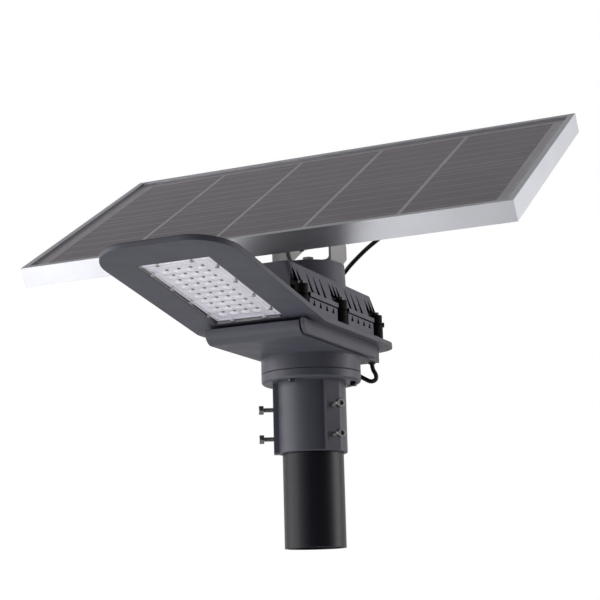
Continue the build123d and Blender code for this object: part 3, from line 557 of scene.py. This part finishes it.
def screw_profile(inner, outer):
    """Radii and distances from the pole axis of one cap screw: ridged shank, head and round socket."""
    seat = outer - HEAD_LENGTH
    profile = [(SCREW_R * 0.7, inner)]
    at = inner + 0.5 * MM
    while at < seat - THREAD_PITCH:
        profile += [(SCREW_R, at), (SCREW_R, at + 0.25 * MM), (SCREW_R - THREAD_DEPTH, at + 0.5 * MM)]
        at += THREAD_PITCH
    profile += [(SCREW_R - 0.4 * MM, seat), (HEAD_R - 0.2 * MM, seat), (HEAD_R, seat + 0.3 * MM)]
    profile += [(HEAD_R, outer - 0.6 * MM), (HEAD_R - 0.6 * MM, outer), (SOCKET_R + 0.35 * MM, outer)]
    profile += [(SOCKET_R, outer - 0.35 * MM), (SOCKET_R, outer - SOCKET_DEPTH)]
    profile += [(0.2 * MM, outer - SOCKET_DEPTH)]
    return profile


def clamp_screws():
    """The cap screws that clamp the pole, where the CAD solids are."""
    bm = bmesh.new()
    for points in node_islands("clamp_screws"):
        reach = [math.hypot(p.x, p.y) for p in points]
        middle = sum(points, Vector()) / len(points)
        outward = Vector((middle.x, middle.y, 0)).normalized()
        up = Vector((0, 0, 1))
        turn = Matrix((up.cross(outward), up, outward)).transposed().to_4x4()
        turn.translation = Vector((0, 0, (min(p.z for p in points) + max(p.z for p in points)) / 2))
        lathe(bm, screw_profile(min(reach), max(reach)), turn)
    mesh = from_bmesh("clamp_screw_set", bm, Matrix.Identity(4))
    piece("clamp_screw_set", mesh, "pole", ["clamp_screws"], cap_steel, False)


clamp_screws()


# ---- cables ----------------------------------------------------------------------------
CABLE_R = 2.8 * MM
LOWER_ROUTE = [
    (12.0, 62.0, 331.5),
    (12.0, 62.0, 342.0),
    (17.0, 62.5, 350.0),
    (25.0, 61.0, 356.0),
    (34.0, 54.6, 361.4),
    (43.0, 50.5, 366.5),
]
UPPER_ROUTE = [
    (43.0, 50.5, 366.5),
    (54.0, 45.4889, 372.7333),
    (68.0, 41.0, 380.5),
    (84.0, 36.5, 388.0),
    (101.0, 29.0, 398.0),
    (116.0, 17.9, 408.1),
    (116.0, 6.77, 425.85),
]
BELLY_ROUTE = [
    (55.5, 67.0, 234.4),
    (55.5, 67.0, 227.0),
    (61.0, 66.5, 218.5),
    (61.0, 66.0, 212.0),
    (54.0, 66.0, 209.5),
    (45.0, 66.5, 214.5),
    (35.0, 67.0, 220.5),
    (25.0, 68.0, 224.5),
    (16.5, 69.0, 226.0),
    (9.5, 69.5, 229.0),
    (9.5, 69.5, 234.4),
]


def nurbs(name, route):
    """Round cable whose centreline is a smooth curve with these control points, in millimetres."""
    data = bpy.data.curves.new(name, "CURVE")
    data.dimensions = "3D"
    data.bevel_depth = CABLE_R
    data.bevel_resolution = 6
    data.resolution_u = 16
    data.use_fill_caps = True
    spline = data.splines.new("NURBS")
    spline.points.add(len(route) - 1)
    for point, place in zip(spline.points, route):
        point.co = (*[c * MM for c in place], 1)
    spline.order_u = 3
    spline.use_endpoint_u = True
    item = bpy.data.objects.new(name, data)
    bpy.context.scene.collection.objects.link(item)
    return item


def centreline(item):
    """Points along a cable's own line, and their summed length."""
    data = item.data.copy()
    data.bevel_depth = 0
    probe = bpy.data.objects.new("probe", data)
    mesh = bpy.data.meshes.new_from_object(probe)
    line = [v.co.copy() for v in mesh.vertices]
    length = sum((b - a).length for a, b in zip(line, line[1:]))
    bpy.data.objects.remove(probe)
    bpy.data.curves.remove(data)
    bpy.data.meshes.remove(mesh)
    return line, length


def cable(name, route, body, other_body, node):
    """Cable that rides on one body; where other_body is given, a tube fixed in place that rides on no
    body.
    """
    item = nurbs(name, route)
    line, length = centreline(item)
    if other_body:
        tube = bpy.data.meshes.new_from_object(item)
        bpy.data.objects.remove(item)
        item = bpy.data.objects.new(name, tube)
        bpy.context.scene.collection.objects.link(item)
        for polygon in tube.polygons:
            polygon.use_smooth = True
    item.data.materials.clear()
    item.data.materials.append(jacket)
    if other_body:
        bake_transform(item)
    else:
        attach(item, body)
    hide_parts(node)


cable("panel_lead_lower", LOWER_ROUTE, "head", "bracket", "panel_cable_lower")
cable("panel_lead_upper", UPPER_ROUTE, "bracket", "panel", "panel_cable_upper")
cable("belly_lead", BELLY_ROUTE, "head", None, "belly_cable")


# ---- studio ------------------------------------------------------------------------------
FLOOR_Z = -1.2
FLOOR_SIZE = 14
DARK_SIDE = Vector((0.63, -0.77, 0.0)).normalized()
DARK_CORE = 0.86
DARK_EDGE = 0.45
TENT_BRIGHT = 0.95
TENT_DARK = 0.05
LID_START = 0.3
LID_FULL = 0.65
LID_SHARE = 0.42


def pale_floor():
    """Matt pale floor, well below the lamp."""
    bpy.ops.mesh.primitive_plane_add(size=FLOOR_SIZE, location=(0, 0, FLOOR_Z))
    floor = bpy.context.object
    floor.name = "studio_floor"
    pale = Shader("pale_floor", Roughness=0.8)
    pale.base.inputs["Base Color"].default_value = (0.85, 0.85, 0.85, 1)
    floor.data.materials.append(pale.material)


def soft_range(tree, value, from_min, from_max, to_min, to_max):
    """Node output that goes softly from to_min to to_max as the value crosses its range."""
    node = tree.nodes.new("ShaderNodeMapRange")
    node.interpolation_type = "SMOOTHSTEP"
    tree.links.new(value, node.inputs["Value"])
    ends = {"From Min": from_min, "From Max": from_max, "To Min": to_min, "To Max": to_max}
    for key, number in ends.items():
        node.inputs[key].default_value = number
    return node.outputs[0]


def surroundings():
    """White to the camera. It lights as a pale tent with a dark patch on one side and a dimmer lid."""
    world = bpy.data.worlds.new("studio_world")
    bpy.context.scene.world = world
    world.use_nodes = True
    tree = world.node_tree
    shown = tree.nodes["Background"]
    shown.inputs["Color"].default_value = (1, 1, 1, 1)
    direction = tree.nodes.new("ShaderNodeTexCoord").outputs["Generated"]
    aim = tree.nodes.new("ShaderNodeVectorMath")
    aim.operation = "DOT_PRODUCT"
    aim.inputs[1].default_value = DARK_SIDE
    tree.links.new(direction, aim.inputs[0])
    patch = soft_range(tree, aim.outputs["Value"], DARK_EDGE, DARK_CORE, TENT_BRIGHT, TENT_DARK)
    height = tree.nodes.new("ShaderNodeSeparateXYZ")
    tree.links.new(direction, height.inputs[0])
    lid = soft_range(tree, height.outputs["Z"], LID_START, LID_FULL, 1.0, LID_SHARE)
    both = tree.nodes.new("ShaderNodeMath")
    both.operation = "MULTIPLY"
    tree.links.new(patch, both.inputs[0])
    tree.links.new(lid, both.inputs[1])
    lit = tree.nodes.new("ShaderNodeBackground")
    tree.links.new(both.outputs[0], lit.inputs["Strength"])
    path = tree.nodes.new("ShaderNodeLightPath")
    mix = tree.nodes.new("ShaderNodeMixShader")
    tree.links.new(path.outputs["Is Camera Ray"], mix.inputs[0])
    tree.links.new(lit.outputs[0], mix.inputs[1])
    tree.links.new(shown.outputs[0], mix.inputs[2])
    tree.links.new(mix.outputs[0], tree.nodes["World Output"].inputs["Surface"])


LAMP_MIDDLE = Vector((0, -0.05, 0.3))


def softbox(name, place, size, power, mirrored=True):
    """Rectangular lamp aimed at the middle of the object, which may be left out of reflections."""
    lamp = bpy.data.lights.new(name, "AREA")
    lamp.shape = "RECTANGLE"
    lamp.size, lamp.size_y = size
    lamp.energy = power
    item = bpy.data.objects.new(name, lamp)
    bpy.context.scene.collection.objects.link(item)
    item.location = place
    aim = LAMP_MIDDLE - Vector(place)
    item.rotation_euler = aim.to_track_quat("-Z", "Y").to_euler()
    item.visible_camera = False
    item.visible_glossy = mirrored


def lamps():
    """Key light from the left, weaker ones from the right and below. The soft ones leave no reflection."""
    left, left_size = (-2.0, -1.1, 0.1), (2.2, 2.0)
    low, low_size = (-1.0, -1.4, -1.0), (1.2, 1.0)
    softbox("key_left", left, left_size, 22)
    softbox("key_left_soft", left, left_size, 17, mirrored=False)
    softbox("side_right", (1.9, 1.0, 0.1), (1.2, 1.6), 14)
    softbox("low_front_left", low, low_size, 5)
    softbox("low_front_left_soft", low, low_size, 7, mirrored=False)
    softbox("floor_bounce", (0, -0.4, -1.1), (2.4, 2.0), 7, mirrored=False)


CAMERA_PLACE = (0.8002, -1.7623, -0.0872)
CAMERA_AZIMUTH = math.radians(24.76)
CAMERA_PITCH = math.radians(11.63)
CAMERA_ROLL = math.radians(-1.5)
CAMERA_LENS = 93.68


def camera():
    """Camera below the head and to its right, looking up at it."""
    sin_a, cos_a = math.sin(CAMERA_AZIMUTH), math.cos(CAMERA_AZIMUTH)
    right = Vector((cos_a, sin_a, 0))
    level = Vector((-sin_a, cos_a, 0))
    forward = level * math.cos(CAMERA_PITCH) + Vector((0, 0, math.sin(CAMERA_PITCH)))
    up = right.cross(forward)
    rolled_right = right * math.cos(CAMERA_ROLL) + up * math.sin(CAMERA_ROLL)
    rolled_up = up * math.cos(CAMERA_ROLL) - right * math.sin(CAMERA_ROLL)
    data = bpy.data.cameras.new("photo_camera")
    data.lens = CAMERA_LENS
    data.sensor_width = 36
    item = bpy.data.objects.new("photo_camera", data)
    bpy.context.scene.collection.objects.link(item)
    turn = Matrix((rolled_right, rolled_up, -forward)).transposed().to_4x4()
    turn.translation = Vector(CAMERA_PLACE)
    item.matrix_world = turn
    bpy.context.scene.camera = item


pale_floor()
surroundings()
lamps()
camera()
bpy.context.scene.view_settings.view_transform = "Standard"
